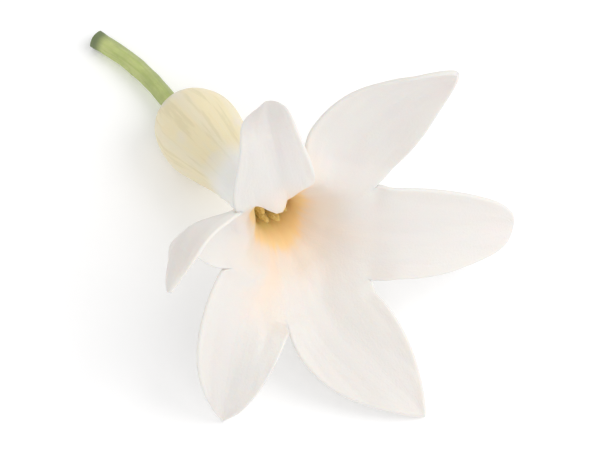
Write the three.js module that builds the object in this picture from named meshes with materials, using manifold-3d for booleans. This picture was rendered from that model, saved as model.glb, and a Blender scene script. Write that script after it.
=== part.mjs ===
// A single cut floret, lying on a surface as it was dropped there. Millimetres, +Z up.
// The flower's own frame has its axis on +Z, with the joint of the stalk at 0, the mouth of the
// tube above it, and azimuths measured round the axis. Two nested groups then turn the flower and
// lay it down with its mouth towards -Y, resting on the swollen base of its tube and two tepals.
import * as THREE from "three";
import { mergeVertices } from "three/addons/utils/BufferGeometryUtils.js";
import Module from "manifold-3d";

// Tube, from the joint with the stalk to the rim where the six tepals part
const THROAT_HEIGHT = 20.5;
const SEAT_RADIUS = 1.0;
const BULB_RADIUS = 3.8;
const BULB_HEIGHT = 4.6;
const NECK_RADIUS = 2.45;
const NECK_HEIGHT = 14.5;
const RIM_RADIUS = 4.4;
const RIM_HEIGHT = 21.35;
const WALL = 0.75;
const FLOOR = 0.8;
const RIB_DEPTH = 0.018;
const WHORL_STEP = 0.04;
const TUBE_SIDES = 36;
const TUBE_STEPS = 28;

// Tepals: free blades that carry on from the rim, six to a turn
const TEPAL_THICKNESS = 0.66;
const RIM_GAP = 0.3;
const HALF_SECTOR = 27.6;
const TIP_WIDTH = 0.9;
const BLADE_COLUMNS = 10;
const BLADE_ROWS = 20;

// Stalk, stamens and pistil
const STALK_RADIUS = 0.8;
const STALK_SIDES = 10;
const STALK_STEPS = 20;
const ANTHER_RADIUS = 1.08;
const ANTHER_HEIGHT = 16.8;
const ANTHER_HALF_SIZE = [0.33, 0.4, 1.9];
const FILAMENT_FOOT = [1.3, 11.2];
const FILAMENT_RADIUS = 0.31;
const OVARY_RADIUS = 2.0;
const OVARY_TOP = 5.8;
const STYLE_RADIUS = 0.36;
const STYLE_TOP = 9.9;
const PISTIL_SIDES = 18;

// How it lies: the mouth's rise over the level, the turn about its own axis, and how deep the
// swollen base is pressed flat where it rests
const MOUTH_RISE = 23.7;
const SPIN = 22.2;
const PRESSED = 0.15;

// Each tepal starts at its azimuth on the rim. A cubic curve carries its midrib by two handles to
// the tip, each given as azimuth, distance from the axis, and height over the throat. The blade is
// widest at a share of its length: belly tells how fast it widens up to there, and point how fast
// it narrows after. Roll turns it about its midrib, and channel is half the angle that it is bent
// through across.
const TEPALS = [
  {
    name: "outer_tepal_1", azimuth: 15, handles: [[21.2, 7.35, 2.75], [24.7, 12.9, 2.45]],
    tip: [17.5, 20.2, 8.4], width: 8.9, widest: 0.31, belly: 0.82, point: 0.66,
    roll: -4.4, channel: 21, wave: 0.3, phase: 40,
  },
  {
    name: "outer_tepal_2", azimuth: -105, handles: [[-119, 8.4, 4.9], [-104.4, 11.3, 8.2]],
    tip: [-100, 16.8, 12.4], width: 9, widest: 0.4, belly: 0.95, point: 0.84,
    roll: 1.3, channel: 16.5, wave: 0.25, phase: 200,
  },
  {
    name: "outer_tepal_3", azimuth: 135, handles: [[126.9, 7.4, 2.8], [103.9, 16.2, 5.6]],
    tip: [136.5, 15.3, 8.1], width: 6.4, widest: 0.54, belly: 0.95, point: 0.64,
    roll: -49, channel: 26.5, wave: 0.15, phase: 90,
  },
  {
    name: "inner_tepal_1", azimuth: 75, handles: [[76.4, 5.35, 6.7], [80.8, 18.8, 11.8]],
    tip: [68.5, 16.1, 4.4], width: 5.9, widest: 0.57, belly: 0.9, point: 0.5,
    roll: -19.9, channel: 15, wave: 0.2, phase: 300,
  },
  {
    name: "inner_tepal_2", azimuth: -45, handles: [[-38, 7.6, 5.2], [-40.5, 12.9, 6.3]],
    tip: [-47, 20.5, 4.4], width: 8.6, widest: 0.3, belly: 0.86, point: 0.46,
    roll: -4.9, channel: 24.3, wave: 0.3, phase: 120,
  },
  {
    name: "inner_tepal_3", azimuth: -165, handles: [[-180, 8.4, 4], [-169.8, 12.4, 7.4]],
    tip: [-153.9, 17.65, 4.4], width: 8.2, widest: 0.32, belly: 1.05, point: 0.93,
    roll: 33.4, channel: 28.3, wave: 0.2, phase: 10,
  },
];

// The stalk's way back and down from its joint, in the flower's frame
const STALK_WAY = [
  [0, 0, -0.3], [0, 0.2, -1.6], [0.1, 1.1, -4.2], [-0.15, 2.3, -7.3], [-0.9, 3.85, -10.55],
];

const CREAM = 0xe8dcaf;
const PETAL_WHITE = 0xf4ecea;
const STALK_GREEN = 0x96af69;
const ANTHER_YELLOW = 0xd9b24a;
const OVARY_GREEN = 0xb9c77a;

const { degToRad, lerp, smoothstep } = THREE.MathUtils;

const ease = (x) => smoothstep(x, 0, 1);

function around(azimuth, radius, height) {
  return new THREE.Vector3(radius * Math.cos(azimuth), radius * Math.sin(azimuth), height);
}

// How far the wall stands out at an azimuth and height: six soft ribs, and a rim whose lobes
// under the outer tepals stand a little wider than those under the inner ones
function fluting(azimuth, height) {
  const turn = azimuth - degToRad(15);
  const ribs = RIB_DEPTH * Math.cos(6 * turn) * ease((height - 1) / 3);
  const lobes = WHORL_STEP * Math.cos(3 * turn) * ease((height - NECK_HEIGHT) / 6);
  return 1 + ribs + lobes;
}

// Both sides of the tube's wall, from the joint up to the rim
function wallProfile() {
  const outside = new THREE.SplineCurve([
    new THREE.Vector2(SEAT_RADIUS, 0),
    new THREE.Vector2(0.64 * BULB_RADIUS, 0.6),
    new THREE.Vector2(0.9 * BULB_RADIUS, 2.2),
    new THREE.Vector2(BULB_RADIUS, BULB_HEIGHT),
    new THREE.Vector2(0.88 * BULB_RADIUS, 0.52 * NECK_HEIGHT),
    new THREE.Vector2(1.1 * NECK_RADIUS, 0.76 * NECK_HEIGHT),
    new THREE.Vector2(NECK_RADIUS, NECK_HEIGHT),
    new THREE.Vector2(1.12 * NECK_RADIUS, 0.89 * THROAT_HEIGHT),
    new THREE.Vector2(0.79 * RIM_RADIUS, 0.98 * THROAT_HEIGHT),
    new THREE.Vector2(RIM_RADIUS, RIM_HEIGHT),
  ]);
  const outer = outside.getSpacedPoints(TUBE_STEPS);
  const inner = outer.map((point, step) => {
    const way = outside.getTangentAt(step / TUBE_STEPS);
    return new THREE.Vector2(point.x - WALL * way.y, point.y + WALL * way.x);
  });
  return { outer, inner: inner.filter((point) => point.y > FLOOR + 0.3) };
}

const PROFILE = wallProfile();

// The middle of the wall at the rim, and the way that the wall flares there
function rimAt(azimuth) {
  const [below, edge] = PROFILE.outer.slice(-2);
  const middle = edge.clone().add(PROFILE.inner.at(-1)).multiplyScalar(0.5);
  const flare = edge.clone().sub(below).normalize();
  const radius = middle.x * fluting(azimuth, RIM_HEIGHT);
  return { place: around(azimuth, radius, middle.y), flare: around(azimuth, flare.x, flare.y) };
}

// Drops all but the places of the vertices, and merges those that coincide
function bare(geometry) {
  geometry.deleteAttribute("normal");
  geometry.deleteAttribute("uv");
  return mergeVertices(geometry, 1e-4);
}

function reshaped(geometry, change) {
  const position = geometry.attributes.position;
  const point = new THREE.Vector3();
  for (let i = 0; i < position.count; i++) {
    change(point.fromBufferAttribute(position, i), i);
    position.setXYZ(i, point.x, point.y, point.z);
  }
  return geometry;
}

function meshOf(name, geometry, color, roughness) {
  const material = new THREE.MeshStandardMaterial({ color, roughness, metalness: 0 });
  const mesh = new THREE.Mesh(geometry, material);
  mesh.name = name;
  geometry.computeVertexNormals();
  return mesh;
}

const wasm = await Module();
wasm.setup();

function solidOf(geometry) {
  const { attributes, index } = bare(geometry);
  return new wasm.Manifold(new wasm.Mesh({
    numProp: 3,
    vertProperties: new Float32Array(attributes.position.array),
    triVerts: new Uint32Array(index.array),
  }));
}

function joined(first, second) {
  const { vertProperties, triVerts } = solidOf(first).add(solidOf(second)).getMesh();
  const geometry = new THREE.BufferGeometry();
  geometry.setAttribute("position", new THREE.BufferAttribute(vertProperties, 3));
  geometry.setIndex(new THREE.BufferAttribute(triVerts, 1));
  return geometry;
}

// A turned profile about +Z: LatheGeometry turns about +Y
function turned(profile, sides) {
  return bare(new THREE.LatheGeometry(profile, sides)).rotateX(Math.PI / 2);
}

// The tube: swollen at its base round the ovary, narrow at its neck, open at its flared mouth
function tube() {
  const profile = [
    new THREE.Vector2(0, 0),
    ...PROFILE.outer,
    ...PROFILE.inner.toReversed(),
    new THREE.Vector2(SEAT_RADIUS, FLOOR + 0.1),
    new THREE.Vector2(0, FLOOR),
  ];
  const shape = reshaped(turned(profile, TUBE_SIDES), (point) => {
    const scale = fluting(Math.atan2(point.y, point.x), point.z);
    point.set(point.x * scale, point.y * scale, point.z);
  });
  return meshOf("tube", shape, CREAM, 0.5);
}

// The blade's width at a share of its length, from the rim to the rounded tip
function widthAt(tepal, share) {
  const { width, widest, belly, point } = tepal;
  const start = 2 * rimAt(0).place.x * Math.sin(degToRad(HALF_SECTOR));
  if (share < widest) {
    return lerp(start, width, Math.sin((Math.PI / 2) * (share / widest)) ** belly);
  }
  const past = (share - widest) / (1 - widest);
  return Math.max(width * Math.cos((Math.PI / 2) * past) ** point, TIP_WIDTH);
}

// The midrib's curve, with a side and a face direction carried along it without twisting
function midrib(tepal) {
  const azimuth = degToRad(tepal.azimuth);
  const { place, flare } = rimAt(azimuth);
  const [first, second, tip] = [...tepal.handles, tepal.tip].map(([turn, radius, rise]) =>
    around(degToRad(turn), radius, THROAT_HEIGHT + rise));
  const root = place.clone().addScaledVector(flare, RIM_GAP);
  const curve = new THREE.CubicBezierCurve3(root, first, second, tip);
  const side = around(azimuth + Math.PI / 2, 1, 0);
  const length = curve.getLength();
  return Array.from({ length: BLADE_ROWS + 1 }, (_, row) => {
    const share = row / BLADE_ROWS;
    const way = curve.getTangentAt(share);
    side.addScaledVector(way, -side.dot(way)).normalize();
    const roll = degToRad(tepal.roll) * ease((share - 0.08) / 0.55);
    const across = side.clone().applyAxisAngle(way, roll);
    const face = way.clone().cross(across);
    return { share, reach: share * length, place: curve.getPointAt(share), across, face };
  });
}

// The blade's middle surface: bent across its width, waved along its edges, and led out of the
// rim's own curve over the first part of its length
function bladePoint(tepal, station, column) {
  const { share, reach, place, across, face } = station;
  const half = widthAt(tepal, share) / 2;
  const bend = lerp(degToRad(HALF_SECTOR), degToRad(tepal.channel), ease(share / 0.35))
    + degToRad(10) * ease((share - 0.75) / 0.25);
  const ripple = Math.sin(2 * Math.PI * 1.2 * share + degToRad(tepal.phase));
  const free = ease(share / 0.3) * ease((1 - share) / 0.2);
  const wave = tepal.wave * column * Math.abs(column) * ripple * free;
  const blade = place.clone()
    .addScaledVector(across, (half / bend) * Math.sin(bend * column))
    .addScaledVector(face, (half / bend) * (1 - Math.cos(bend * column)) + wave);
  const rim = rimAt(degToRad(tepal.azimuth + HALF_SECTOR * column));
  return rim.place.addScaledVector(rim.flare, RIM_GAP + reach).lerp(blade, ease(share / 0.22));
}

// The outline of a grid of vertices, in order round it
function gridOutline(columns, rows) {
  const row = columns + 1;
  const down = Array.from({ length: rows }, (_, i) => i * row);
  const right = Array.from({ length: columns }, (_, i) => rows * row + i);
  const up = Array.from({ length: rows }, (_, i) => (rows - i) * row + columns);
  const left = Array.from({ length: columns }, (_, i) => columns - i);
  return [...down, ...right, ...up, ...left];
}

// A tepal: its middle surface moved half the thickness to each face, both faces split alike, and
// a strip round the edge between them
function tepal(details) {
  const middle = new THREE.PlaneGeometry(2, 1, BLADE_COLUMNS, BLADE_ROWS);
  const stations = midrib(details);
  reshaped(middle, (point, i) => {
    point.copy(bladePoint(details, stations[Math.floor(i / (BLADE_COLUMNS + 1))], point.x));
  });
  middle.computeVertexNormals();
  const { position, normal } = middle.attributes;
  const faces = [0.5, -0.5].flatMap((offset) =>
    Array.from({ length: position.count }, (_, i) =>
      new THREE.Vector3().fromBufferAttribute(position, i).addScaledVector(
        new THREE.Vector3().fromBufferAttribute(normal, i), offset * TEPAL_THICKNESS)));
  const count = position.count;
  const index = [...middle.index.array];
  for (let i = 0; i < middle.index.count; i += 3) {
    const [a, b, c] = middle.index.array.slice(i, i + 3);
    index.push(a + count, c + count, b + count);
  }
  gridOutline(BLADE_COLUMNS, BLADE_ROWS).forEach((here, i, outline) => {
    const next = outline[(i + 1) % outline.length];
    index.push(next, here, here + count, next, here + count, next + count);
  });
  const shape = new THREE.BufferGeometry().setFromPoints(faces);
  shape.setIndex(index);
  return meshOf(details.name, shape, PETAL_WHITE, 0.45);
}

function regularSection(radius, sides) {
  return new THREE.Shape(Array.from({ length: sides }, (_, i) =>
    new THREE.Vector2(radius, 0).rotateAround(new THREE.Vector2(), (2 * Math.PI * i) / sides)));
}

function swept(places, radius, sides, steps) {
  const way = new THREE.CatmullRomCurve3(places.map((place) => new THREE.Vector3(...place)));
  return new THREE.ExtrudeGeometry(regularSection(radius, sides), { extrudePath: way, steps });
}

function stalk() {
  const shape = bare(swept(STALK_WAY, STALK_RADIUS, STALK_SIDES, STALK_STEPS));
  return meshOf("stalk", shape, STALK_GREEN, 0.55);
}

// A stamen: a filament lying against the tube's wall, grown together with its anther
function stamen(number) {
  const [footRadius, footHeight] = FILAMENT_FOOT;
  const top = ANTHER_HEIGHT - 0.75 * ANTHER_HALF_SIZE[2];
  const places = [
    [footRadius, 0, footHeight],
    [0.85 * footRadius, 0, lerp(footHeight, top, 0.6)],
    [ANTHER_RADIUS, 0, top],
  ];
  const filament = swept(places, FILAMENT_RADIUS, 8, 6);
  const anther = new THREE.SphereGeometry(1, 12, 8).rotateX(Math.PI / 2);
  anther.scale(...ANTHER_HALF_SIZE).translate(ANTHER_RADIUS, 0, ANTHER_HEIGHT);
  const mesh = meshOf(`stamen_${number}`, joined(filament, anther), ANTHER_YELLOW, 0.7);
  mesh.rotation.z = degToRad(15 + 60 * (number - 1));
  return mesh;
}

// The pistil: a three-lobed ovary on the floor of the tube, its style and its stigma
function pistil() {
  const foot = FLOOR + RIM_GAP;
  const profile = [
    [0, foot], [0.45 * OVARY_RADIUS, foot], [0.86 * OVARY_RADIUS, foot + 0.8],
    [OVARY_RADIUS, lerp(foot, OVARY_TOP, 0.45)], [0.8 * OVARY_RADIUS, lerp(foot, OVARY_TOP, 0.75)],
    [0.3 * OVARY_RADIUS, OVARY_TOP], [STYLE_RADIUS, OVARY_TOP + 0.5], [STYLE_RADIUS, STYLE_TOP - 0.7],
    [1.5 * STYLE_RADIUS, STYLE_TOP - 0.4], [1.2 * STYLE_RADIUS, STYLE_TOP], [0, STYLE_TOP + 0.1],
  ].map(([radius, height]) => new THREE.Vector2(radius, height));
  const shape = reshaped(turned(profile, PISTIL_SIDES), (point) => {
    const lobes = point.z < OVARY_TOP ? 0.06 * Math.cos(3 * Math.atan2(point.y, point.x)) : 0;
    point.set(point.x * (1 + lobes), point.y * (1 + lobes), point.z);
  });
  return meshOf("pistil", shape, OVARY_GREEN, 0.5);
}

// What reaches below the level that the flower rests on is pressed flat against it
function pressed(mesh, level) {
  const back = mesh.matrixWorld.clone().invert();
  reshaped(mesh.geometry, (point) => {
    point.applyMatrix4(mesh.matrixWorld);
    point.z = Math.max(point.z, level);
    point.applyMatrix4(back);
  });
}

const flower = new THREE.Group();
flower.rotation.z = degToRad(SPIN);
flower.add(stalk(), tube(), ...TEPALS.map(tepal), pistil(), ...[1, 2, 3, 4, 5, 6].map(stamen));

const lying = new THREE.Group();
lying.rotation.x = degToRad(90 - MOUTH_RISE);
lying.add(flower);
lying.updateMatrixWorld(true);

const body = flower.getObjectByName("tube");
const level = new THREE.Box3().setFromObject(body, true).min.z + PRESSED;
flower.children.forEach((mesh) => pressed(mesh, level));

// The origin is on the surface, under the middle of the flower's outline
const extent = new THREE.Box3().setFromObject(lying, true);
const middle = extent.getCenter(new THREE.Vector3());
lying.position.set(-middle.x, -middle.y, -extent.min.z);

const floret = new THREE.Group();
floret.add(lying);

export default floret;
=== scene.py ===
"""A single cut floret, lying as it was dropped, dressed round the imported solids.

Shapes are worked out in millimetres in the flower's own frame, whose axis is +Z with the joint of
the stalk at 0, and are then laid down where the solids lie, in metres.
"""
import math

import bmesh
import bpy
from mathutils import Matrix, Vector, noise


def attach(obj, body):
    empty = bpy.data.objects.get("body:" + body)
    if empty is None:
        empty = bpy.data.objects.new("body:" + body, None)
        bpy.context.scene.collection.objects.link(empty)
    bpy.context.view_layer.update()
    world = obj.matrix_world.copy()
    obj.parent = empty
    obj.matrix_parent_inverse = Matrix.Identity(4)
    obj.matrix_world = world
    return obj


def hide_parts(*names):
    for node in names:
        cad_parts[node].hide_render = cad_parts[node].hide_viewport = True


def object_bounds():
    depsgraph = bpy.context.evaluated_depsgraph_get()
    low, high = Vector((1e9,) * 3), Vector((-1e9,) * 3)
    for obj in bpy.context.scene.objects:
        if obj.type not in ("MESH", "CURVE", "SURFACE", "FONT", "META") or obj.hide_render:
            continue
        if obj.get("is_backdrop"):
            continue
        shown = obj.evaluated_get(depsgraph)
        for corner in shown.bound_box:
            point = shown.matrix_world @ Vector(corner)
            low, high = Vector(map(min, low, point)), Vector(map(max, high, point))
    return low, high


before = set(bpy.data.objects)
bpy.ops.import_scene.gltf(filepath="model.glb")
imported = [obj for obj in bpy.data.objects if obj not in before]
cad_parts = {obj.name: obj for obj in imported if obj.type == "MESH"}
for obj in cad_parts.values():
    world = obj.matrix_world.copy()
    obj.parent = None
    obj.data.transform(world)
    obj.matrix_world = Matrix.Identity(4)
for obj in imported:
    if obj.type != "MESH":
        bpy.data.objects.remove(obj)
CAD_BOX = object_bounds()

bl_info = {
    "name": "Cut floret",
    "version": (1, 0, 0),
    "blender": (4, 5, 0),
    "location": "3D View > Sidebar > Floret",
    "description": "A white, tubular floret with six tepals, lying on a pale surface",
    "category": "Object",
}

MM = 0.001

# Vertices nearer to one another than this, in millimetres, are one
WELD = 0.0004

# How the flower lies, as in the part's source
MOUTH_RISE = 23.7
SPIN = 22.2
LYING_AT = Vector((-2.2089, 12.8614, 2.1188))

# The tube, as in the part's source
THROAT_HEIGHT = 20.5
RIM_HEIGHT = 21.35
NECK_HEIGHT = 14.5
WALL = 0.75
RIB_DEPTH = 0.018
WHORL_STEP = 0.04
WHORL_TURN = math.radians(15)
TUBE_OUTLINE = [
    (1.0, 0.0), (2.432, 0.6), (3.42, 2.2), (3.8, 4.6), (3.344, 7.54),
    (2.695, 11.02), (2.45, 14.5), (2.744, 18.245), (3.476, 20.09), (4.4, 21.35),
]

# The tepals, as in the part's source, and more about each one: how much further out than elsewhere
# the throat's warm colour runs on it, where across it and how strongly that goes on as a streak,
# the share of its length over which it is grown together with the tepal after it, how much of the
# way from that one's edge to its own the two meet, and how many times slower than elsewhere the two
# part. Two have a side that flares. The one over the throat has a lip with a bulge and a dent, each
# given as its place across and its height.
RIM_GAP = 0.3
HALF_SECTOR = 27.6
TEPALS = {
    "outer_tepal_1": {
        "azimuth": 15, "handles": [(21.2, 7.35, 2.75), (24.7, 12.9, 2.45)],
        "tip": (17.5, 20.2, 8.4), "width": 8.9, "widest": 0.31, "belly": 0.82, "point": 0.66,
        "roll": -4.4, "channel": 21, "wave": 0.3, "phase": 40, "glow": 0, "streak": (0, 0.1),
        "joined": 0.13, "meets": 0.6, "flare": 0.75,
    },
    "outer_tepal_2": {
        "azimuth": -105, "handles": [(-119, 8.4, 4.9), (-104.4, 11.3, 8.2)],
        "tip": (-100, 16.8, 12.4), "width": 9, "widest": 0.4, "belly": 0.95, "point": 0.84,
        "roll": 1.3, "channel": 16.5, "wave": 0.25, "phase": 200, "glow": 0,
        "streak": (0, 0.05), "joined": 0.22,
    },
    "outer_tepal_3": {
        "azimuth": 135, "handles": [(126.9, 7.4, 2.8), (103.9, 16.2, 5.6)],
        "tip": (136.5, 15.3, 8.1), "width": 6.4, "widest": 0.54, "belly": 0.95, "point": 0.64,
        "roll": -49, "channel": 26.5, "wave": 0.15, "phase": 90, "glow": 0.5, "streak": (0, 0),
        "joined": 0.18,
    },
    "inner_tepal_1": {
        "azimuth": 75, "handles": [(76.4, 5.35, 6.7), (80.8, 18.8, 11.8)],
        "tip": (68.5, 16.1, 4.4), "width": 5.9, "widest": 0.57, "belly": 0.9, "point": 0.5,
        "roll": -19.9, "channel": 15, "wave": 0.2, "phase": 300, "glow": 6.2, "streak": (0, 0),
        "joined": 0.2, "parting": 1.7, "lip": [(0.28, 0.9), (0.64, -0.45)], "flare": 1.7,
    },
    "inner_tepal_2": {
        "azimuth": -45, "handles": [(-38, 7.6, 5.2), (-40.5, 12.9, 6.3)],
        "tip": (-47, 20.5, 4.4), "width": 8.6, "widest": 0.3, "belly": 0.86, "point": 0.46,
        "roll": -4.9, "channel": 24.3, "wave": 0.3, "phase": 120, "glow": -1.0,
        "streak": (-0.1, 0.45), "joined": 0.17,
    },
    "inner_tepal_3": {
        "azimuth": -165, "handles": [(-180, 8.4, 4), (-169.8, 12.4, 7.4)],
        "tip": (-153.9, 17.65, 4.4), "width": 8.2, "widest": 0.32, "belly": 1.05, "point": 0.93,
        "roll": 33.4, "channel": 28.3, "wave": 0.2, "phase": 10, "glow": 0.1,
        "streak": (0.3, 0.9), "joined": 0.24,
    },
}

# The stalk, the stamens and the pistil, as in the part's source
STALK_WAY = [
    (0, 0, 0.12), (0, 0.2, -1.6), (0.1, 1.1, -4.2), (-0.15, 2.3, -7.3), (-0.9, 3.85, -10.55),
]
STAMENS = [f"stamen_{number}" for number in range(1, 7)]
ANTHER_PLACE = Vector((1.08, 0, 16.8))
ANTHER_HALF_SIZE = (0.36, 0.43, 1.9)
FILAMENT_WAY = [(1.3, 0, 11.2), (1.105, 0, 13.705), (1.08, 0, 15.375)]
PISTIL_OUTLINE = [
    (0.0, 1.1), (0.9, 1.1), (1.72, 1.9), (2.0, 3.215), (1.6, 4.625), (0.6, 5.8), (0.36, 6.3),
    (0.36, 9.2), (0.54, 9.5), (0.43, 9.9), (0.0, 10.0),
]

# How far the throat's lobes go in and out: in at each midrib, and out between two. One cleft
# between two of them is deeper, at the azimuth and over the spread given, in degrees.
THROAT_RIDGE = 0.3
CLEFT = 1.2
CLEFT_AZIMUTH = 104
CLEFT_SPREAD = 17

# The tepals in their order round the tube
ROUND = sorted(TEPALS, key=lambda name: TEPALS[name]["azimuth"] % 360)

# How finely the perianth is divided: across a tepal and along it, and along the tube
COLUMNS = 36
BLADE_ROWS = 72
TUBE_ROWS = 64


# Sizes and colours that a user would change

class PerianthSettings(bpy.types.PropertyGroup):
    midrib: bpy.props.FloatProperty(
        name="Midrib thickness", description="Thickness of a tepal at its midrib",
        default=0.00066, unit="LENGTH", precision=5)
    edge: bpy.props.FloatProperty(
        name="Edge thickness", description="Thickness of a tepal just inside its edge",
        default=0.00034, unit="LENGTH", precision=5)
    groove: bpy.props.FloatProperty(
        name="Midrib groove", description="How far the midrib is sunk into the inner face",
        default=0.0001, unit="LENGTH", precision=5)
    relief: bpy.props.FloatProperty(
        name="Relief", description="Height of the soft swells that run along a tepal",
        default=0.00006, unit="LENGTH", precision=5)
    petal: bpy.props.FloatVectorProperty(
        name="Tepals", description="Colour of the tepals", subtype="COLOR", size=4,
        default=(0.76, 0.748, 0.725, 1), min=0, max=1)
    blush: bpy.props.FloatVectorProperty(
        name="Blush", description="Colour of the faint pink cast on the tepals", subtype="COLOR",
        size=4, default=(0.77, 0.738, 0.72, 1), min=0, max=1)
    peach: bpy.props.FloatVectorProperty(
        name="Peach", description="Colour where the throat fades into the tepals", subtype="COLOR",
        size=4, default=(0.88, 0.73, 0.6, 1), min=0, max=1)
    throat: bpy.props.FloatVectorProperty(
        name="Throat", description="Colour of the throat at its rim", subtype="COLOR", size=4,
        default=(0.95, 0.72, 0.4, 1), min=0, max=1)
    # Deep in the tube the lining is coloured lighter than the throat's rim: painted light that
    # lifts the shade inside the tube.
    depth: bpy.props.FloatVectorProperty(
        name="Throat's depth", description="Colour inside the tube", subtype="COLOR", size=4,
        default=(0.95, 0.78, 0.34, 1), min=0, max=1)
    # The neck is coloured whiter than the tepals: painted light that lifts the shade on the neck.
    neck_painted_light: bpy.props.FloatVectorProperty(
        name="Neck", description="Colour of the tube's neck, seen from outside", subtype="COLOR",
        size=4, default=(0.88, 0.868, 0.835, 1), min=0, max=1)
    tube: bpy.props.FloatVectorProperty(
        name="Tube", description="Colour of the tube's swollen base", subtype="COLOR", size=4,
        default=(0.86, 0.76, 0.51, 1), min=0, max=1)
    tube_base: bpy.props.FloatVectorProperty(
        name="Tube's joint", description="Colour of the tube where it joins the stalk",
        subtype="COLOR", size=4, default=(0.42, 0.38, 0.17, 1), min=0, max=1)


class StalkSettings(bpy.types.PropertyGroup):
    radius: bpy.props.FloatProperty(
        name="Radius", description="Radius of the stalk", default=0.0008, unit="LENGTH",
        precision=5)
    skin: bpy.props.FloatVectorProperty(
        name="Skin", description="Colour of the stalk", subtype="COLOR", size=4,
        default=(0.45, 0.52, 0.18, 1), min=0, max=1)
    cut: bpy.props.FloatVectorProperty(
        name="Cut end", description="Colour of the stalk's dried cut end", subtype="COLOR", size=4,
        default=(0.16, 0.2, 0.09, 1), min=0, max=1)


class HeartSettings(bpy.types.PropertyGroup):
    anther: bpy.props.FloatVectorProperty(
        name="Anthers", description="Colour of the anthers", subtype="COLOR", size=4,
        default=(0.75, 0.56, 0.2, 1), min=0, max=1)
    filament: bpy.props.FloatVectorProperty(
        name="Filaments", description="Colour of the filaments", subtype="COLOR", size=4,
        default=(0.78, 0.72, 0.5, 1), min=0, max=1)
    ovary: bpy.props.FloatVectorProperty(
        name="Ovary", description="Colour of the ovary", subtype="COLOR", size=4,
        default=(0.4, 0.48, 0.14, 1), min=0, max=1)


class StageSettings(bpy.types.PropertyGroup):
    floor: bpy.props.FloatVectorProperty(
        name="Surface", description="Colour of the surface that the flower lies on",
        subtype="COLOR", size=4, default=(0.94, 0.94, 0.945, 1), min=0, max=1)
    azimuth: bpy.props.FloatProperty(
        name="Camera azimuth", description="Way round the flower that the camera stands",
        default=math.radians(-30.4), subtype="ANGLE")
    elevation: bpy.props.FloatProperty(
        name="Camera elevation", description="Height of the camera over the level",
        default=math.radians(60), subtype="ANGLE")
    distance: bpy.props.FloatProperty(
        name="Camera distance", description="How far the camera is from the flower",
        default=0.5, unit="LENGTH")
    width: bpy.props.FloatProperty(
        name="Framed width", description="Width that the picture takes in at the flower",
        default=0.052, unit="LENGTH")


# The lamps: name, place, size, power and colour
LAMPS = [
    ("key", (0.57, -0.33, 0.72), 0.8, 3.1, (1, 0.99, 0.975)),
    ("front", (-0.15, -0.65, 0.75), 0.6, 1.2, (1, 1, 1)),
]
SKY_STRENGTH = 0.76
SURFACE_RADIUS = 3
SURFACE_GLOW = 0.12
SENSOR_WIDTH = 36

SETTINGS = {
    "floret_perianth": PerianthSettings,
    "floret_stalk": StalkSettings,
    "floret_heart": HeartSettings,
    "floret_stage": StageSettings,
}


# Shape

def ease(x):
    x = min(max(x, 0), 1)
    return x * x * (3 - 2 * x)


def lerp(a, b, share):
    return a + (b - a) * share


def around(azimuth, radius, height):
    return Vector((radius * math.cos(azimuth), radius * math.sin(azimuth), height))


def cylindrical(turn, radius, rise):
    return around(math.radians(turn), radius, THROAT_HEIGHT + rise)


def catmull_rom(points, share):
    """The uniform spline through the points, its ends repeated."""
    place = share * (len(points) - 1)
    first = min(int(place), len(points) - 2)
    t = place - first
    a, b, c, d = (points[min(max(i, 0), len(points) - 1)] for i in range(first - 1, first + 3))
    return 0.5 * (2 * b + (c - a) * t + (2 * a - 5 * b + 4 * c - d) * t * t
                  + (3 * b - a - 3 * c + d) * t ** 3)


def evenly(curve, steps, samples=600):
    """Points at even distances along a curve, given as a function of 0 to 1."""
    line = [curve(i / samples) for i in range(samples + 1)]
    reach = [0.0]
    for before, after in zip(line, line[1:]):
        reach.append(reach[-1] + (after - before).length)
    found, i = [], 0
    for share in steps:
        want = share * reach[-1]
        while i < samples - 1 and reach[i + 1] < want:
            i += 1
        part = (want - reach[i]) / max(reach[i + 1] - reach[i], 1e-9)
        found.append((line[i].lerp(line[i + 1], part), (line[i + 1] - line[i]).normalized(), want))
    return found


def fluting(azimuth, height):
    """How far the wall stands out: six soft ribs, and a rim whose outer lobes are wider."""
    turn = azimuth - WHORL_TURN
    ribs = RIB_DEPTH * math.cos(6 * turn) * ease((height - 1) / 3)
    lobes = WHORL_STEP * math.cos(3 * turn) * ease((height - NECK_HEIGHT) / 6)
    return 1 + ribs + lobes


def wall_stations():
    """The middle of the tube's wall from its floor up to where the tepals part."""
    outline = [Vector((r, 0, h)) for r, h in TUBE_OUTLINE]
    outer = evenly(lambda t: catmull_rom(outline, t), [i / TUBE_ROWS for i in range(TUBE_ROWS + 1)])
    middle = [
        (place.x - WALL / 2 * way.z, place.z + WALL / 2 * way.x, place.z, reach)
        for place, way, reach in outer
    ]
    return middle, outer[-1][1]


STATIONS, FLARE = wall_stations()


def rim_at(azimuth):
    """The middle of the wall at the rim, and the way that the wall flares there."""
    radius, height = STATIONS[-1][:2]
    place = around(azimuth, radius * fluting(azimuth, RIM_HEIGHT), height)
    return place, around(azimuth, FLARE.x, FLARE.z)


def width_at(tepal, share):
    width, widest = tepal["width"], tepal["widest"]
    start = 2 * rim_at(0)[0].x * math.sin(math.radians(HALF_SECTOR))
    if share < widest:
        return lerp(start, width, math.sin(math.pi / 2 * share / widest) ** tepal["belly"])
    past = (share - widest) / (1 - widest)
    return width * max(math.cos(math.pi / 2 * past), 0) ** tepal["point"]


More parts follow.
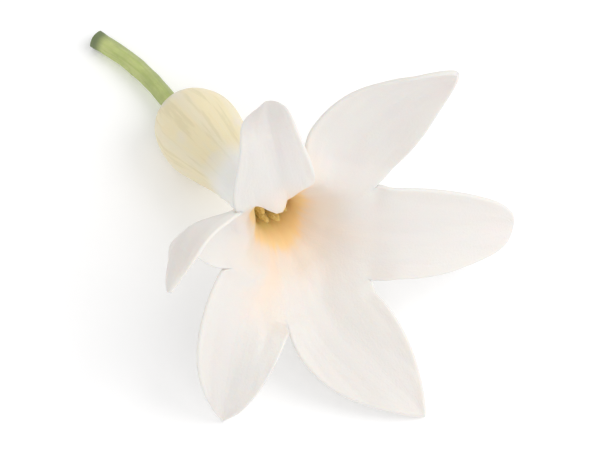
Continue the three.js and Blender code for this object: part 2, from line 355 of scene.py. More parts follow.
def midrib(tepal, shares):
    """Stations along the midrib: its place, and a side and a face carried along without twist."""
    azimuth = math.radians(tepal["azimuth"])
    rim, flare = rim_at(azimuth)
    first, second, tip = (cylindrical(*spot) for spot in [*tepal["handles"], tepal["tip"]])
    root = rim + flare * RIM_GAP

    def curve(t):
        s = 1 - t
        return root * s ** 3 + first * 3 * s * s * t + second * 3 * s * t * t + tip * t ** 3

    side = around(azimuth + math.pi / 2, 1, 0)
    stations = []
    for share, (place, way, reach) in zip(shares, evenly(curve, shares)):
        side = (side - way * side.dot(way)).normalized()
        roll = math.radians(tepal["roll"]) * ease((share - 0.08) / 0.55)
        across = Matrix.Rotation(roll, 3, way) @ side
        stations.append((share, reach, place, across, way.cross(across)))
    return stations


def blade_point(tepal, station, column):
    """A place on the blade's middle surface, led out of the rim's own curve."""
    share, reach, place, across, face = station
    half = width_at(tepal, share) / 2
    bend = lerp(math.radians(HALF_SECTOR), math.radians(tepal["channel"]), ease(share / 0.35))
    bend += math.radians(10) * ease((share - 0.75) / 0.25)
    ripple = math.sin(2 * math.pi * 1.2 * share + math.radians(tepal["phase"]))
    ripple *= ease(share / 0.3) * ease((1 - share) / 0.2)
    wave = tepal["wave"] * column * abs(column) * ripple
    flare = tepal.get("flare", 0) * ease(column) * ease((share - 0.05) / 0.25)
    flare *= ease((0.8 - share) / 0.42)
    blade = (place + across * (half / bend * math.sin(bend * column) + flare)
             + face * (half / bend * (1 - math.cos(bend * column)) + wave))
    sector = lerp(30, HALF_SECTOR, ease(share / 0.08))
    rim, way = rim_at(math.radians(tepal["azimuth"] + sector * column))
    return (rim + way * (RIM_GAP + reach)).lerp(blade, ease(share / 0.22))


def mesh_layers(bm):
    """Where each vertex was in the flower's own frame, where it is on its blade, its shares of the
    inner face and of a warm streak, and how far out it is past the throat's warm colour."""
    vectors, numbers = bm.verts.layers.float_vector, bm.verts.layers.float
    return {
        "flower_place": vectors.new("flower_place"),
        "blade_place": vectors.new("blade_place"),
        "inner_face": numbers.new("inner_face"),
        "streak": numbers.new("streak"),
        "past_glow": numbers.new("past_glow"),
    }


def column_at(x):
    """Columns lie closer together towards a blade's edges, so that those can be rounded."""
    return math.sin(math.pi / 2 * x) * 0.8 + 0.2 * x


def edge_rounding(gap, width):
    """How much of its thickness a blade keeps at a distance from its edge."""
    return math.sqrt(max(1 - max(1 - gap / width, 0) ** 2, 0.02))


def glow_at(azimuth):
    """How much further out than elsewhere the throat's warm colour runs at an azimuth."""
    turn = (azimuth - WHORL_TURN) / math.radians(60) % 6
    first = int(turn)
    one, other = (TEPALS[ROUND[number % 6]]["glow"] for number in (first, first + 1))
    return lerp(one, other, ease(turn - first))


def streak_at(tepal, column):
    middle, strength = tepal["streak"]
    return strength * math.exp(-((column - middle) / 0.55) ** 2)


def throat_ridge(column):
    """How far the throat stands in over its usual line at a place between two of its grooves."""
    return THROAT_RIDGE * (math.exp(-(column / 0.4) ** 2) - 0.4)


def cleft(azimuth):
    """How far the throat's wall is drawn outwards at an azimuth by the deeper cleft."""
    apart = (math.degrees(azimuth) - CLEFT_AZIMUTH + 180) % 360 - 180
    return CLEFT * math.exp(-(apart / CLEFT_SPREAD) ** 2)


def lay_tube(bm, layers, thickness):
    """The tube's wall as one sheet, with as many columns for each tepal as the tepal has."""
    rows = [(0.0, WALL / 2, 0.0, 0.0), (0.45, WALL / 2, 0.0, 0.0), *STATIONS]
    made = bmesh.ops.create_grid(bm, x_segments=6 * COLUMNS, y_segments=len(rows) + 1, size=1)
    for v in made["verts"]:
        turn = (v.co.x + 1) / 2 * 6
        sector = min(int(turn + 1e-6), 5)
        column = column_at(2 * (turn - sector) - 1)
        azimuth = WHORL_TURN + math.radians(60 * sector + 30 * column)
        inwards = throat_ridge(column) - cleft(azimuth)
        row = round((v.co.y + 1) / 2 * (len(rows) + 1))
        if row < len(rows):
            radius, height, outer_height, reach = rows[row]
            radius = radius * fluting(azimuth, outer_height) - inwards * ease((height - 16.5) / 5)
            v.co = around(azimuth, radius, height)
            past_rim = reach - STATIONS[-1][3]
        else:
            rim, way = rim_at(azimuth)
            past_rim = RIM_GAP * (row - len(rows) + 1) / 2
            v.co = rim + way * past_rim - around(azimuth, inwards, 0)
        v[layers["past_glow"]] = past_rim - glow_at(azimuth)
        v[layers["blade_place"]] = (column, row / (len(rows) + 1), 0)
        v[layers["streak"]] = streak_at(TEPALS[ROUND[sector]], column)
        thickness[v] = WALL


def seams(ribs):
    """Where the edges of each tepal and of the one after it meet, row by row, and how firmly:
    wholly where they are grown together, and not at all further out."""
    found = {name: {} for name in ROUND}
    for name, after in zip(ROUND, ROUND[1:] + ROUND[:1]):
        tepal, line = TEPALS[name], []
        for one, other in zip(ribs[name], ribs[after]):
            near, far = blade_point(tepal, one, 1), blade_point(TEPALS[after], other, -1)
            parting = tepal.get("parting", 1) * (0.06 + 0.03 * (near - far).length)
            held = 1 - ease((one[0] - tepal["joined"]) / parting)
            line.append((far.lerp(near, tepal.get("meets", 0.5)), held))
        found[name][1] = found[after][-1] = line
    return found


def blade_relief(tepal, station, column, number, settings):
    """How far a blade's middle surface stands out of its plain shape: its groove, its swells, and
    the bulge and the dent of a lip."""
    share, reach = station[:2]
    over = column * width_at(tepal, share) / 2
    free = ease(share / 0.15) * ease((1 - share) / 0.12)
    groove = settings.groove / MM * math.exp(-(over / 0.8) ** 2) * free
    swell = noise.noise(Vector((over * 0.55, reach * 0.12, 7.3 * number)))
    swell += 0.5 * noise.noise(Vector((over * 1.5, reach * 0.3, 3.1 + 7.3 * number)))
    lip = sum(h * math.exp(-((column - at) / 0.19) ** 2) for at, h in tepal.get("lip", ()))
    lip *= ease(share / 0.12) * ease((0.45 - share) / 0.25)
    return 2.2 * settings.relief / MM * swell * free - groove + lip


def blade_thickness(share, column, settings):
    """The wall's thickness at the throat, and further out the midrib's, thinner at the edges."""
    thick, thin = settings.midrib / MM, settings.edge / MM
    body = lerp(WALL, thick, ease(share / 0.12))
    body = lerp(body, thin, abs(column) ** 2 * ease(share / 0.25))
    return lerp(body, min(body, lerp(thick, thin, 0.6)), ease((share - 0.6) / 0.4))


def lay_tepal(bm, layers, thickness, name, number, stations, meeting, settings):
    """A tepal's middle surface. Near the throat its edges run together with its neighbours'."""
    tepal = TEPALS[name]
    length = stations[-1][1]
    made = bmesh.ops.create_grid(bm, x_segments=COLUMNS, y_segments=BLADE_ROWS, size=1)
    for v in made["verts"]:
        row = round((v.co.y + 1) / 2 * BLADE_ROWS)
        station = stations[row]
        column = column_at(v.co.x)
        share, reach, _, _, face = station
        place = blade_point(tepal, station, column)
        side = 1 if column > 0 else -1
        seam, held = meeting[side][row]
        astray = seam - blade_point(tepal, station, side)
        place += astray * held * ease((abs(column) - 0.15) / 0.85)
        azimuth = math.radians(tepal["azimuth"] + 30 * column)
        place -= around(azimuth, throat_ridge(column) * (1 - ease(share / 0.4)), 0)
        place += around(azimuth, cleft(azimuth) * (1 - ease((share - 0.12) / 0.3)), 0)
        loose = 1 - held * ease((abs(column) - 0.6) / 0.4)
        v.co = place + face * blade_relief(tepal, station, column, number, settings) * loose
        half = width_at(tepal, share) / 2
        near_edge = min(half * (1 - abs(column)), length * (1 - share) + 0.02)
        rounding = lerp(1, edge_rounding(near_edge, 0.17), ease((1 - held) / 0.25))
        thickness[v] = blade_thickness(share, column, settings) * rounding
        v[layers["blade_place"]] = (column, 1 + share, number)
        v[layers["past_glow"]] = RIM_GAP + reach - glow_at(azimuth)
        v[layers["streak"]] = streak_at(tepal, column)


def thicken(bm, layers, thickness):
    """Gives the sheet its two faces: the sheet's own, which look outwards, become the outer one."""
    for v in bm.verts:
        v[layers["flower_place"]] = v.co
    bm.normal_update()
    sheet = list(bm.verts)
    normals = [v.normal.copy() for v in sheet]
    sides = [thickness[v] / 2 for v in sheet]
    places = [v.co.copy() for v in sheet]
    out = bmesh.ops.extrude_face_region(bm, geom=bm.faces[:])
    bm.verts.ensure_lookup_table()
    copies = [g for g in out["geom"] if isinstance(g, bmesh.types.BMVert)]
    original = {tuple(round(c, 5) for c in place): i for i, place in enumerate(places)}
    for v in copies:
        i = original[tuple(round(c, 5) for c in v.co)]
        v.co = places[i] - normals[i] * sides[i]
        v[layers["inner_face"]] = 1
    for v, normal, side in zip(sheet, normals, sides):
        v.co += normal * side
        v[layers["inner_face"]] = 0


def lying():
    """From the flower's own frame, in millimetres, to where it lies, in metres."""
    turn = Matrix.Rotation(math.radians(SPIN), 4, "Z")
    lean = Matrix.Rotation(math.radians(90 - MOUTH_RISE), 4, "X")
    return Matrix.Scale(MM, 4) @ Matrix.Translation(LYING_AT) @ lean @ turn


def finish_piece(bm, name, material, nodes):
    """Lays the piece down on the surface, turns its faces one way, smooths its shading and hands it
    to the frame.
    """
    bmesh.ops.transform(bm, matrix=lying(), verts=bm.verts)
    for v in bm.verts:
        v.co.z = max(v.co.z, 0)
    bmesh.ops.recalc_face_normals(bm, faces=bm.faces)
    for face in bm.faces:
        face.smooth = True
    mesh = bpy.data.meshes.new(name)
    bm.to_mesh(mesh)
    bm.free()
    mesh.materials.append(material)
    piece = bpy.data.objects.new(name, mesh)
    bpy.context.scene.collection.objects.link(piece)
    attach(piece, "root")
    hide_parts(*nodes)
    return piece


def sweep(bm, places, radii, sides):
    """A closed rod along the places: a capped ring, drawn out from each place to the next. Gives
    back the vertices of each ring."""
    made = bmesh.ops.create_circle(bm, cap_ends=True, radius=1, segments=sides)
    ring = made["verts"]
    rings = [ring]
    cap = ring[0].link_faces[0]
    ways = [(after - before).normalized() for before, after in zip(places, places[1:])]
    ways.append(ways[-1])
    turn = Vector((0, 0, 1)).rotation_difference(ways[0]).to_matrix().to_4x4()
    here = Matrix.Translation(places[0]) @ turn @ Matrix.Scale(radii[0], 4)
    bmesh.ops.transform(bm, matrix=here, verts=ring)
    for place, way, radius in zip(places[1:], ways[1:], radii[1:]):
        out = bmesh.ops.extrude_face_region(bm, geom=[cap, *cap.edges])
        ring = [g for g in out["geom"] if isinstance(g, bmesh.types.BMVert)]
        cap = next(g for g in out["geom"] if isinstance(g, bmesh.types.BMFace))
        before = turn.to_3x3() @ Vector((0, 0, 1))
        turn = before.rotation_difference(way).to_matrix().to_4x4() @ turn
        there = Matrix.Translation(place) @ turn @ Matrix.Scale(radius, 4)
        bmesh.ops.transform(bm, matrix=there @ here.inverted(), verts=ring)
        rings.append(ring)
        here = there
    return rings


# Finish

class Graph:
    """Adds nodes to a tree, each from what feeds it, and gives back an output."""

    def __init__(self, tree):
        self.tree = tree

    def add(self, kind, feeds=(), output=0, **settings):
        node = self.tree.nodes.new(kind)
        for key, value in settings.items():
            setattr(node, key, value)
        for key, value in dict(feeds).items():
            if isinstance(value, bpy.types.NodeSocket):
                self.tree.links.new(value, node.inputs[key])
            else:
                node.inputs[key].default_value = value
        return node.outputs[output]

    def math(self, operation, *values, clamp=False):
        return self.add("ShaderNodeMath", enumerate(values), operation=operation, use_clamp=clamp)

    def vector_math(self, operation, *values, output=0):
        return self.add("ShaderNodeVectorMath", enumerate(values), output, operation=operation)

    def between(self, value, low, high, start=0.0, end=1.0):
        """Goes smoothly from start to end as the value goes from low to high."""
        feeds = {"Value": value, "From Min": low, "From Max": high, "To Min": start, "To Max": end}
        return self.add("ShaderNodeMapRange", feeds, interpolation_type="SMOOTHSTEP")

    def mix(self, share, first, second, blend="MIX"):
        feeds = {0: share, 6: first, 7: second}
        return self.add("ShaderNodeMix", feeds, 2, data_type="RGBA", blend_type=blend)

    def noise(self, vector, scale, detail=2.0, roughness=0.5):
        feeds = {"Vector": vector, "Scale": scale, "Detail": detail, "Roughness": roughness}
        return self.add("ShaderNodeTexNoise", feeds)

    def attribute(self, name, output):
        return self.add("ShaderNodeAttribute", (), output, attribute_name=name)

    def separate(self, vector):
        node = self.tree.nodes.new("ShaderNodeSeparateXYZ")
        self.tree.links.new(vector, node.inputs[0])
        return node.outputs


def plant_skin():
    """The fine waxy skin of every green and white piece: lengthwise veins and small cells."""
    name = "Plant skin"
    if name in bpy.data.node_groups:
        return bpy.data.node_groups[name]
    group = bpy.data.node_groups.new(name, "ShaderNodeTree")
    for label, kind, default in [
        ("Place", "NodeSocketVector", None), ("Along veins", "NodeSocketVector", None),
        ("Vein scale", "NodeSocketFloat", 2.0), ("Cell scale", "NodeSocketFloat", 9.0),
        ("Vein share", "NodeSocketFloat", 0.6),
    ]:
        socket = group.interface.new_socket(name=label, in_out="INPUT", socket_type=kind)
        if default is not None:
            socket.default_value = default
    for label in ("Height", "Veins", "Mottle"):
        group.interface.new_socket(name=label, in_out="OUTPUT", socket_type="NodeSocketFloat")
    graph = Graph(group)
    given = group.nodes.new("NodeGroupInput").outputs
    veins = graph.noise(given["Along veins"], given["Vein scale"], 3.0, 0.55)
    cells = graph.add(
        "ShaderNodeTexVoronoi", {"Vector": given["Place"], "Scale": given["Cell scale"]},
        feature="SMOOTH_F1")
    mottle = graph.noise(given["Place"], 0.35, 3.0, 0.6)
    rest = graph.math("SUBTRACT", 1.0, given["Vein share"])
    cells = graph.math("MULTIPLY", cells, rest)
    height = graph.math("MULTIPLY_ADD", veins, given["Vein share"], cells)
    out = group.nodes.new("NodeGroupOutput")
    for socket, value in {"Height": height, "Veins": veins, "Mottle": mottle}.items():
        group.links.new(value, out.inputs[socket])
    return group


def skin_of(graph, place, along, vein_scale, cell_scale, vein_share):
    node = graph.tree.nodes.new("ShaderNodeGroup")
    node.node_tree = plant_skin()
    graph.tree.links.new(place, node.inputs["Place"])
    graph.tree.links.new(along, node.inputs["Along veins"])
    node.inputs["Vein scale"].default_value = vein_scale
    node.inputs["Cell scale"].default_value = cell_scale
    node.inputs["Vein share"].default_value = vein_share
    return node.outputs


def new_material(name, roughness, through=0.0, radius=(1.0, 0.7, 0.5), reach=0.0008, coat=0.0):
    """A material with its own graph and shader. Light goes through it by the share given."""
    material = bpy.data.materials.new(name)
    material.use_nodes = True
    shader = material.node_tree.nodes["Principled BSDF"]
    shader.inputs["Roughness"].default_value = roughness
    shader.inputs["Subsurface Weight"].default_value = through
    shader.inputs["Subsurface Radius"].default_value = radius
    shader.inputs["Subsurface Scale"].default_value = reach
    shader.inputs["Coat Weight"].default_value = coat
    shader.inputs["Coat Roughness"].default_value = 0.3
    return material, Graph(material.node_tree), shader


def set_bump(graph, shader, height, distance, strength=1.0):
    bump = graph.add(
        "ShaderNodeBump", {"Height": height, "Distance": distance, "Strength": strength})
    graph.tree.links.new(bump, shader.inputs["Normal"])


def perianth_finish(settings):
    """White tepals with a pink cast, a warm throat and a cream tube, all grown together, with
    painted light on the neck and deep in the tube to lift their shade.
    """
    material, graph, shader = new_material("Waxy tepal and tube", 0.46, through=0.45)
    place = graph.attribute("flower_place", "Vector")
    blade = graph.attribute("blade_place", "Vector")
    inside = graph.attribute("inner_face", "Fac")
    streak = graph.attribute("streak", "Fac")
    past_glow = graph.attribute("past_glow", "Fac")
    outside = graph.math("SUBTRACT", 1.0, inside)
    across, along, number = graph.separate(blade)
    x, y, z = graph.separate(place)

    # Veins run along the blades, and round the tube they follow its own azimuths
    outward = graph.vector_math("NORMALIZE", graph.add("ShaderNodeCombineXYZ", {"X": x, "Y": y}))
    on_tube = graph.add("ShaderNodeCombineXYZ", {2: graph.math("MULTIPLY", z, 0.08)})
    on_tube = graph.vector_math("MULTIPLY_ADD", outward, (2.8, 2.8, 2.8), on_tube)
    on_blade = graph.add("ShaderNodeCombineXYZ", {
        "X": graph.math("MULTIPLY", across, 3.8),
        "Y": graph.math("MULTIPLY", along, 1.7),
        "Z": graph.math("MULTIPLY", number, 5.3),
    })
    free = graph.between(along, 1.12, 1.4)
    tube_skin, skin = (skin_of(graph, place, way, 2.3, 6.0, 0.7) for way in (on_tube, on_blade))
    height, veins = (
        graph.add("ShaderNodeMix", {0: free, 2: tube_skin[name], 3: skin[name]})
        for name in ("Height", "Veins"))

    # Tepals
    blush = graph.between(skin["Mottle"], 0.42, 0.68)
    tip = graph.between(along, 1.55, 2.0, 0.0, 0.35)
    petal = graph.mix(
        graph.math("ADD", graph.math("MULTIPLY", blush, 0.6), tip, clamp=True),
        settings.petal, settings.blush)
    petal = graph.mix(graph.between(veins, 0.46, 0.62, 0.0, 0.1), petal, settings.blush)

    # Tube: cream, with paler ribs and dull lines between them, greener at the joint, whiter above,
    # where the neck's colour is painted light that lifts its shade
    turn = graph.math("SUBTRACT", graph.math("ARCTAN2", y, x), WHORL_TURN)
    ribs = graph.math("COSINE", graph.math("MULTIPLY", turn, 6.0))
    pale = graph.mix(0.4, settings.tube, settings.petal)
    dull = graph.mix(0.4, settings.tube, settings.tube_base)
    tube = graph.mix(graph.between(ribs, 0.3, 1.0, 0.0, 0.5), settings.tube, pale)
    tube = graph.mix(graph.between(veins, 0.5, 0.64, 0.0, 0.4), tube, dull)
    tube = graph.mix(graph.between(veins, 0.34, 0.46, 0.3, 0.0), tube, pale)
    tube = graph.mix(graph.between(z, 0.0, 2.2, 0.7, 0.0), tube, settings.tube_base)
    spot = graph.between(graph.noise(place, 0.32, 1.0), 0.56, 0.74, 0.0, 0.45)
    tube = graph.mix(spot, tube, settings.blush)
    # Painted light: the neck is coloured whiter than the tepals, to lift the shade that falls on it
    neck_painted_light = graph.mix(graph.between(z, 15.0, 21.0), settings.neck_painted_light, petal)
    outer = graph.mix(graph.between(z, 9.8, 13.4, 0.0, 0.94), tube, neck_painted_light)

    # Throat: the tube's lining, then the warm rim, fading out and leaving a streak on some tepals;
    # deep in the tube the lining is coloured lighter than the rim, as painted light that lifts the
    # shade there
    uneven = graph.math("MULTIPLY", graph.math("SUBTRACT", veins, 0.5), 1.6)
    out = graph.math("ADD", past_glow, uneven)
    # Painted light: the depth colour, lighter than the rim's, lifts the shade deep inside the tube
    lining = graph.mix(graph.between(out, -5.0, -3.0), settings.depth, settings.throat)
    warm = graph.mix(graph.between(out, -2.4, -1.0), lining, settings.peach)
    ray = graph.math("MULTIPLY", graph.between(past_glow, -0.3, 7.5), streak)
    ray = graph.math("SUBTRACT", streak, ray)
    halo = graph.between(past_glow, -1.2, 4.2, 0.5, 0.0)
    inner = graph.mix(graph.math("MAXIMUM", ray, halo), petal, settings.peach)
    inner = graph.mix(graph.between(out, -2.4, -0.3, 1.0, 0.0), inner, warm)
    colour = graph.mix(inside, outer, inner)

    graph.tree.links.new(colour, shader.inputs["Base Color"])
    rough = graph.between(height, 0.3, 0.7, 0.4, 0.56)
    graph.tree.links.new(rough, shader.inputs["Roughness"])
    set_bump(graph, shader, height, 0.00009, 0.55)
    return material


def stalk_finish(settings):
    """Fresh green skin with lengthwise streaks, darker at the joint and dried at the cut end, with
    painted shade on the side turned from the light.
    """
    material, graph, shader = new_material("Green stalk", 0.5, through=0.2, radius=(0.5, 0.8, 0.2))
    place = graph.attribute("flower_place", "Vector")
    blade = graph.attribute("blade_place", "Vector")
    around_it, along, _ = graph.separate(blade)
    way = graph.add("ShaderNodeCombineXYZ", {
        "X": graph.math("MULTIPLY", graph.math("SINE", around_it), 1.4),
        "Y": graph.math("MULTIPLY", graph.math("COSINE", around_it), 1.4),
        "Z": graph.math("MULTIPLY", along, 1.2),
    })
    skin = skin_of(graph, place, way, 2.6, 8.0, 0.65)
    pale = graph.mix(0.32, settings.skin, (0.7, 0.72, 0.35, 1))
    dark = graph.mix(0.35, settings.skin, settings.cut)
    colour = graph.mix(graph.between(skin["Veins"], 0.4, 0.64), pale, settings.skin)
    colour = graph.mix(graph.between(skin["Mottle"], 0.5, 0.75, 0.0, 0.6), colour, dark)
    # Painted shade: the side of the stalk turned away from the key light is mixed towards a dull
    # grey-green
    shade = graph.between(graph.math("SINE", around_it), 0.35, 1.0, 0.0, 0.55)
    colour = graph.mix(shade, colour, (0.3, 0.34, 0.19, 1))
    colour = graph.mix(graph.between(along, 0.0, 0.07, 0.75, 0.0), colour, dark)
    colour = graph.mix(graph.between(along, 0.88, 0.97), colour, settings.cut)
    graph.tree.links.new(colour, shader.inputs["Base Color"])
    rough = graph.between(skin["Height"], 0.3, 0.7, 0.42, 0.62)
    graph.tree.links.new(rough, shader.inputs["Roughness"])
    set_bump(graph, shader, skin["Height"], 0.00012, 0.7)
    return material


def stamen_finish(settings):
    """A pale smooth filament, and an anther covered in grains of pollen."""
    material, graph, shader = new_material("Anther and filament", 0.75, through=0.15)
    place = graph.attribute("flower_place", "Vector")
    anther = graph.attribute("inner_face", "Fac")
    skin = skin_of(graph, place, place, 1.5, 7.0, 0.25)
    grains = graph.between(skin["Height"], 0.25, 0.7)
    powder = graph.mix(grains, settings.anther, (0.88, 0.7, 0.32, 1))
    colour = graph.mix(anther, settings.filament, powder)
    graph.tree.links.new(colour, shader.inputs["Base Color"])
    set_bump(graph, shader, skin["Height"], 0.00008, 0.8)
    return material


def pistil_finish(settings):
    """A green ovary that pales into the style, with a moist tip."""
    material, graph, shader = new_material("Ovary and style", 0.42, through=0.25, coat=0.15)
    place = graph.attribute("flower_place", "Vector")
    skin = skin_of(graph, place, place, 1.1, 6.0, 0.4)
    height = graph.separate(place)[2]
    pale = graph.mix(0.7, settings.ovary, settings.filament)
    colour = graph.mix(graph.between(height, 4.8, 7.0), settings.ovary, pale)
    colour = graph.mix(graph.between(skin["Mottle"], 0.45, 0.7, 0.0, 0.4), colour, pale)
    graph.tree.links.new(colour, shader.inputs["Base Color"])
    set_bump(graph, shader, skin["Height"], 0.00006, 0.6)
    return material


# Operators

class FLORET_OT_perianth(bpy.types.Operator):
    """Make the tube and its six tepals, which are grown together, as one closed piece"""

    bl_idname = "floret.perianth"
    bl_label = "Perianth"

    def execute(self, context):
        settings = context.scene.floret_perianth
        bm = bmesh.new()
        layers = mesh_layers(bm)
        thickness = {}
        lay_tube(bm, layers, thickness)
        rows = [lerp(i / BLADE_ROWS, (1 - math.cos(math.pi * i / BLADE_ROWS)) / 2, 0.8) * 0.9985
                for i in range(BLADE_ROWS + 1)]
        ribs = {name: midrib(tepal, rows) for name, tepal in TEPALS.items()}
        meeting = seams(ribs)
        for number, name in enumerate(TEPALS, 1):
            lay_tepal(bm, layers, thickness, name, number, ribs[name], meeting[name], settings)
        bmesh.ops.remove_doubles(bm, verts=bm.verts, dist=WELD)
        thicken(bm, layers, thickness)
        finish_piece(bm, "perianth", perianth_finish(settings), ["tube", *TEPALS])
        return {"FINISHED"}


class FLORET_OT_stalk(bpy.types.Operator):
    """Make the bent green stalk, from its joint with the tube to its cut end"""

    bl_idname = "floret.stalk"
    bl_label = "Stalk"

    def execute(self, context):
        settings = context.scene.floret_stalk
        steps = 90
        points = [Vector(point) for point in STALK_WAY]
        found = evenly(lambda t: catmull_rom(points, t), [i / steps for i in range(steps + 1)])
        radii = [
            settings.radius / MM
            * (1 + 0.3 * math.exp(-i / 4) + 0.07 * ease((i / steps - 0.9) / 0.08)
               + 0.05 * noise.noise(Vector((i * 0.11, 4.2, 0))))
            for i in range(steps + 1)
        ]
        bm = bmesh.new()
        layers = mesh_layers(bm)
        rings = sweep(bm, [place for place, _, _ in found], radii, 40)
        length = found[-1][2]
        for ring, (place, _, reach) in zip(rings, found):
            for v in ring:
                side = v.co - place
                turn = math.atan2(side.x, side.y + side.z * 0.3)
                ridges = 0.03 * math.cos(5 * turn + 0.4) + 0.02 * noise.noise(
                    Vector((math.sin(turn) * 2.4, math.cos(turn) * 2.4, reach * 0.35)))
                v.co = place + side * (1 + ridges)
                v[layers["flower_place"]] = v.co
                v[layers["blade_place"]] = (turn, reach / length, 0)
        end = [f for f in bm.faces if len(f.verts) > 4 and f.calc_center_median().z < -5]
        bmesh.ops.inset_region(bm, faces=end, thickness=0.12, depth=-0.06)
        bmesh.ops.inset_region(bm, faces=end, thickness=0.28, depth=0.05)
        finish_piece(bm, "stalk", stalk_finish(settings), ["stalk"])
        return {"FINISHED"}


class FLORET_OT_stamens(bpy.types.Operator):
    """Make the six stamens that stand on the tube's wall inside it"""

    bl_idname = "floret.stamens"
    bl_label = "Stamens"

    def execute(self, context):
        material = stamen_finish(context.scene.floret_heart)
        for number, node in enumerate(STAMENS):
            bm = bmesh.new()
            layers = mesh_layers(bm)
            points = [Vector(point) for point in FILAMENT_WAY]
            found = evenly(lambda t: catmull_rom(points, t), [i / 16 for i in range(17)])
            sweep(bm, [place for place, _, _ in found], [0.31 - 0.006 * i for i in range(17)], 16)
            stem = set(bm.verts)
            made = bmesh.ops.create_uvsphere(bm, u_segments=40, v_segments=28, radius=1)
            for v in made["verts"]:
                x, y, z = v.co
                cleft = 0.3 * math.exp(-(y / 0.22) ** 2) * (1 if x < 0 else 0.6)
                waist = 1 - 0.1 * math.exp(-(z / 0.3) ** 2)
                full = (1 - z ** 4 * 0.3)
                v.co = Vector((x * (1 - cleft), y * waist * full * 1.05, z))
                v.co = Vector([c * s for c, s in zip(v.co, ANTHER_HALF_SIZE)]) + ANTHER_PLACE
            turn = Matrix.Rotation(WHORL_TURN + math.radians(60 * number), 4, "Z")
            bmesh.ops.transform(bm, matrix=turn, verts=bm.verts)
            for v in bm.verts:
                v[layers["flower_place"]] = v.co
                v[layers["inner_face"]] = 0 if v in stem else 1
            finish_piece(bm, node, material, [node])
        return {"FINISHED"}


class FLORET_OT_pistil(bpy.types.Operator):
    """Make the pistil: a three-lobed ovary, its style and its stigma"""

    bl_idname = "floret.pistil"
    bl_label = "Pistil"

    def execute(self, context):
        bm = bmesh.new()
        layers = mesh_layers(bm)
        outline = [Vector((r, 0, h)) for r, h in PISTIL_OUTLINE]
        found = evenly(lambda t: catmull_rom(outline, t), [i / 60 for i in range(61)])
        line = [bm.verts.new((max(place.x, 0), 0, place.z)) for place, _, _ in found]
        edges = [bm.edges.new(pair) for pair in zip(line, line[1:])]
        bmesh.ops.spin(
            bm, geom=line + edges, cent=(0, 0, 0), axis=(0, 0, 1), dvec=(0, 0, 0),
            angle=2 * math.pi, steps=60, use_merge=True, use_duplicate=False)
        bmesh.ops.remove_doubles(bm, verts=bm.verts, dist=WELD)
        for v in bm.verts:
            turn = math.atan2(v.co.y, v.co.x)
            lobes = 0.06 * math.cos(3 * turn) - 0.05 * math.exp(-(math.cos(1.5 * turn) / 0.2) ** 2)
            share = ease((6 - v.co.z) / 1.2)
            v.co.x *= 1 + lobes * share
            v.co.y *= 1 + lobes * share
            v[layers["flower_place"]] = v.co
        finish_piece(bm, "pistil", pistil_finish(context.scene.floret_heart), ["pistil"])
        return {"FINISHED"}


def soft_light(target, name, place, size, power, colour):
    light = bpy.data.lights.new(name, "AREA")
    light.shape, light.size, light.energy, light.color = "DISK", size, power, colour
    lamp = bpy.data.objects.new(name, light)
    lamp.location = place
    lamp.rotation_euler = (Vector(target) - Vector(place)).to_track_quat("-Z", "Y").to_euler()
    lamp.visible_camera = False
    bpy.context.scene.collection.objects.link(lamp)


def seen_middle(turn):
    """The middle of the solids as a camera turned this way sees them."""
    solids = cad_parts.values()
    spots = [turn.transposed() @ v.co for node in solids for v in node.data.vertices]
    lows, highs = zip(*((min(line), max(line)) for line in zip(*spots)))
    return turn @ ((Vector(lows) + Vector(highs)) / 2)


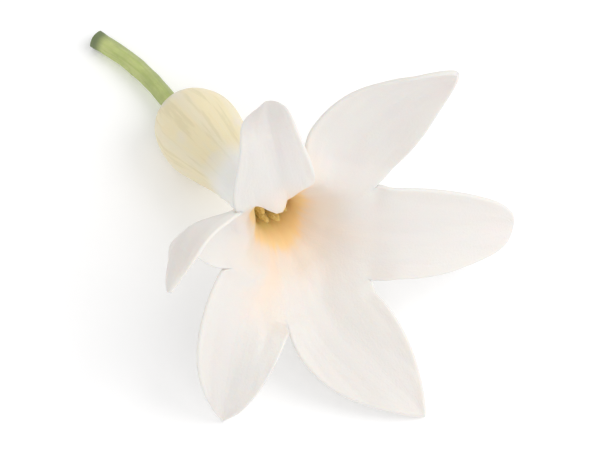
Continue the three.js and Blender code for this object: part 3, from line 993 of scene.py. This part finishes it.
class FLORET_OT_stage(bpy.types.Operator):
    """Set the pale surface, the soft light and the camera"""

    bl_idname = "floret.stage"
    bl_label = "Stage"

    def execute(self, context):
        settings = context.scene.floret_stage
        scene = context.scene
        scene.view_settings.view_transform = "Standard"
        material, graph, shader = new_material("Pale surface", 0.9)
        shader.inputs["Base Color"].default_value = settings.floor
        shader.inputs["Emission Color"].default_value = (1, 1, 1, 1)
        shader.inputs["Emission Strength"].default_value = SURFACE_GLOW
        shader.inputs["Specular IOR Level"].default_value = 0.2
        bm = bmesh.new()
        bmesh.ops.create_circle(bm, cap_ends=True, radius=SURFACE_RADIUS, segments=64)
        mesh = bpy.data.meshes.new("surface")
        bm.to_mesh(mesh)
        bm.free()
        mesh.materials.append(material)
        surface = bpy.data.objects.new("surface", mesh)
        scene.collection.objects.link(surface)
        surface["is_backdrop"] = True

        world = bpy.data.worlds.new("Soft light")
        world.use_nodes = True
        background = world.node_tree.nodes["Background"]
        background.inputs["Color"].default_value = (1, 1, 1, 1)
        background.inputs["Strength"].default_value = SKY_STRENGTH
        scene.world = world
        for lamp in LAMPS:
            soft_light((CAD_BOX[0] + CAD_BOX[1]) / 2, *lamp)

        lens = bpy.data.cameras.new("camera")
        lens.sensor_width = SENSOR_WIDTH
        lens.lens = SENSOR_WIDTH * settings.distance / settings.width
        lens.clip_start, lens.clip_end = 0.01, 20
        camera = bpy.data.objects.new("camera", lens)
        turn = Matrix.Rotation(settings.azimuth, 3, "Z") @ Matrix.Rotation(
            math.pi / 2 - settings.elevation, 3, "X")
        camera.location = seen_middle(turn) + turn.col[2] * settings.distance
        camera.rotation_euler = turn.to_euler()
        scene.collection.objects.link(camera)
        scene.camera = camera
        return {"FINISHED"}


STEPS = [
    FLORET_OT_stage, FLORET_OT_perianth, FLORET_OT_stalk, FLORET_OT_stamens, FLORET_OT_pistil,
]


class FLORET_PT_panel(bpy.types.Panel):
    """Lists what the floret is made of"""

    bl_idname = "FLORET_PT_panel"
    bl_label = "Cut floret"
    bl_space_type = "VIEW_3D"
    bl_region_type = "UI"
    bl_category = "Floret"

    def draw(self, context):
        for step in STEPS:
            self.layout.operator(step.bl_idname)
        for name, group in SETTINGS.items():
            box = self.layout.box()
            for prop in group.__annotations__:
                box.prop(getattr(context.scene, name), prop)


def register():
    for group in SETTINGS.values():
        bpy.utils.register_class(group)
    for name, group in SETTINGS.items():
        setattr(bpy.types.Scene, name, bpy.props.PointerProperty(type=group))
    for step in [*STEPS, FLORET_PT_panel]:
        bpy.utils.register_class(step)


def unregister():
    for step in [FLORET_PT_panel, *reversed(STEPS)]:
        bpy.utils.unregister_class(step)
    for name, group in SETTINGS.items():
        delattr(bpy.types.Scene, name)
        bpy.utils.unregister_class(group)


def main():
    register()
    for step in STEPS:
        family, name = step.bl_idname.split(".")
        getattr(getattr(bpy.ops, family), name)()
    sizes = {"cad": CAD_BOX, "visual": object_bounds()}
    {key: [list(corner) for corner in box] for key, box in sizes.items()}


if __name__ == "__main__":
    main()
